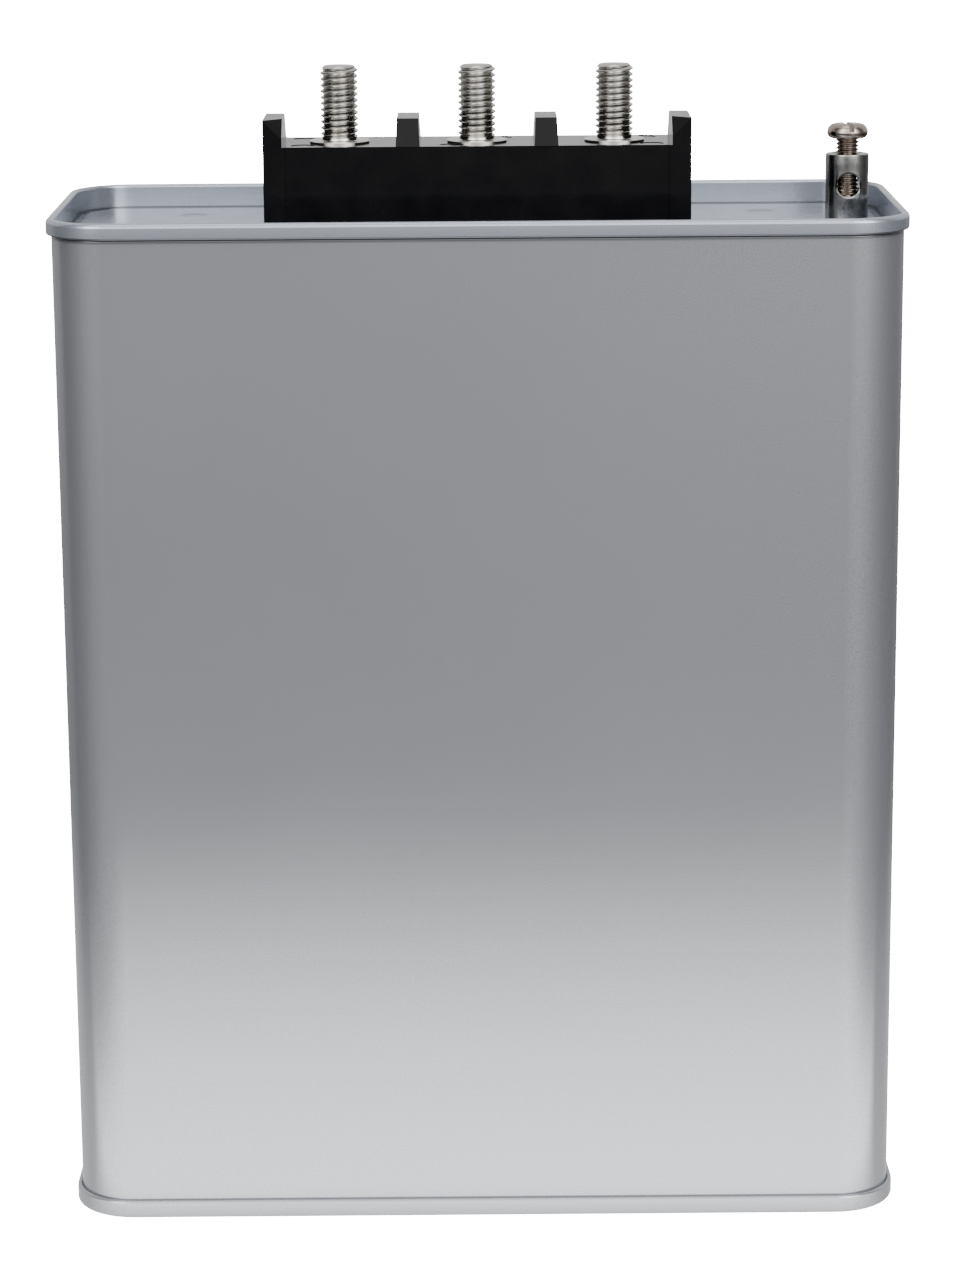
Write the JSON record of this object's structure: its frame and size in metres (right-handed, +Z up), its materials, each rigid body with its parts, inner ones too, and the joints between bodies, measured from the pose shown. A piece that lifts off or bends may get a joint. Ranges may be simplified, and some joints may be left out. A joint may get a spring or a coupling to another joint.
{
  "type": "power factor correction capacitor",
  "caption": "Rectangular seamed sheet-metal can with a recessed lid, a moulded terminal block with barriers and threaded studs, an earth post, and wound film elements inside.",
  "frame": {"origin": "centre of the rectangle that the bottom seam stands on", "axes": "+Z up towards the terminals, X along the can's length, -Y towards the front"},
  "size_m": [0.1752, 0.0722, 0.2397],
  "materials": {
    "can_paint": "semi-gloss silver grey paint on tinplate",
    "block_moulding": "gloss black moulded thermoset",
    "gasket_rubber": "matt black sheet rubber",
    "laminate": "brown phenolic laminate",
    "nickel_plate": "bright nickel plate on steel",
    "pressboard": "calendered pressboard",
    "film_roll": "metallised film roll with sprayed ends",
    "tinned_copper": "tinned copper strip",
    "resistor_coat": "white ceramic case",
    "potting_resin": "poured sealing resin"
  },
  "bodies": {
    "root": {"base": "can_paint", "bottom_strap_left": "tinned_copper", "bottom_strap_middle": "tinned_copper", "bottom_strap_right": "tinned_copper", "can_body": "can_paint", "clamp_plate": "laminate", "clamp_screw": "nickel_plate", "delta_jumper": "tinned_copper", "earth_nut": "nickel_plate", "earth_post": "nickel_plate", "element_left": "film_roll", "element_middle": "film_roll", "element_right": "film_roll", "floor_plate": "pressboard", "lid": "can_paint", "liner": "pressboard", "potting": "potting_resin", "resistor_left": "resistor_coat", "resistor_long": "resistor_coat", "resistor_right": "resistor_coat", "stud_left": "nickel_plate", "stud_middle": "nickel_plate", "stud_nuts": "nickel_plate", "stud_right": "nickel_plate", "terminal_bar_left": "tinned_copper", "terminal_bar_middle": "tinned_copper", "terminal_bar_right": "tinned_copper", "terminal_block": "block_moulding", "terminal_gasket": "gasket_rubber", "top_plate": "pressboard", "top_strap_left": "tinned_copper", "top_strap_middle": "tinned_copper", "top_strap_right": "tinned_copper"}
  },
  "joints": []
}
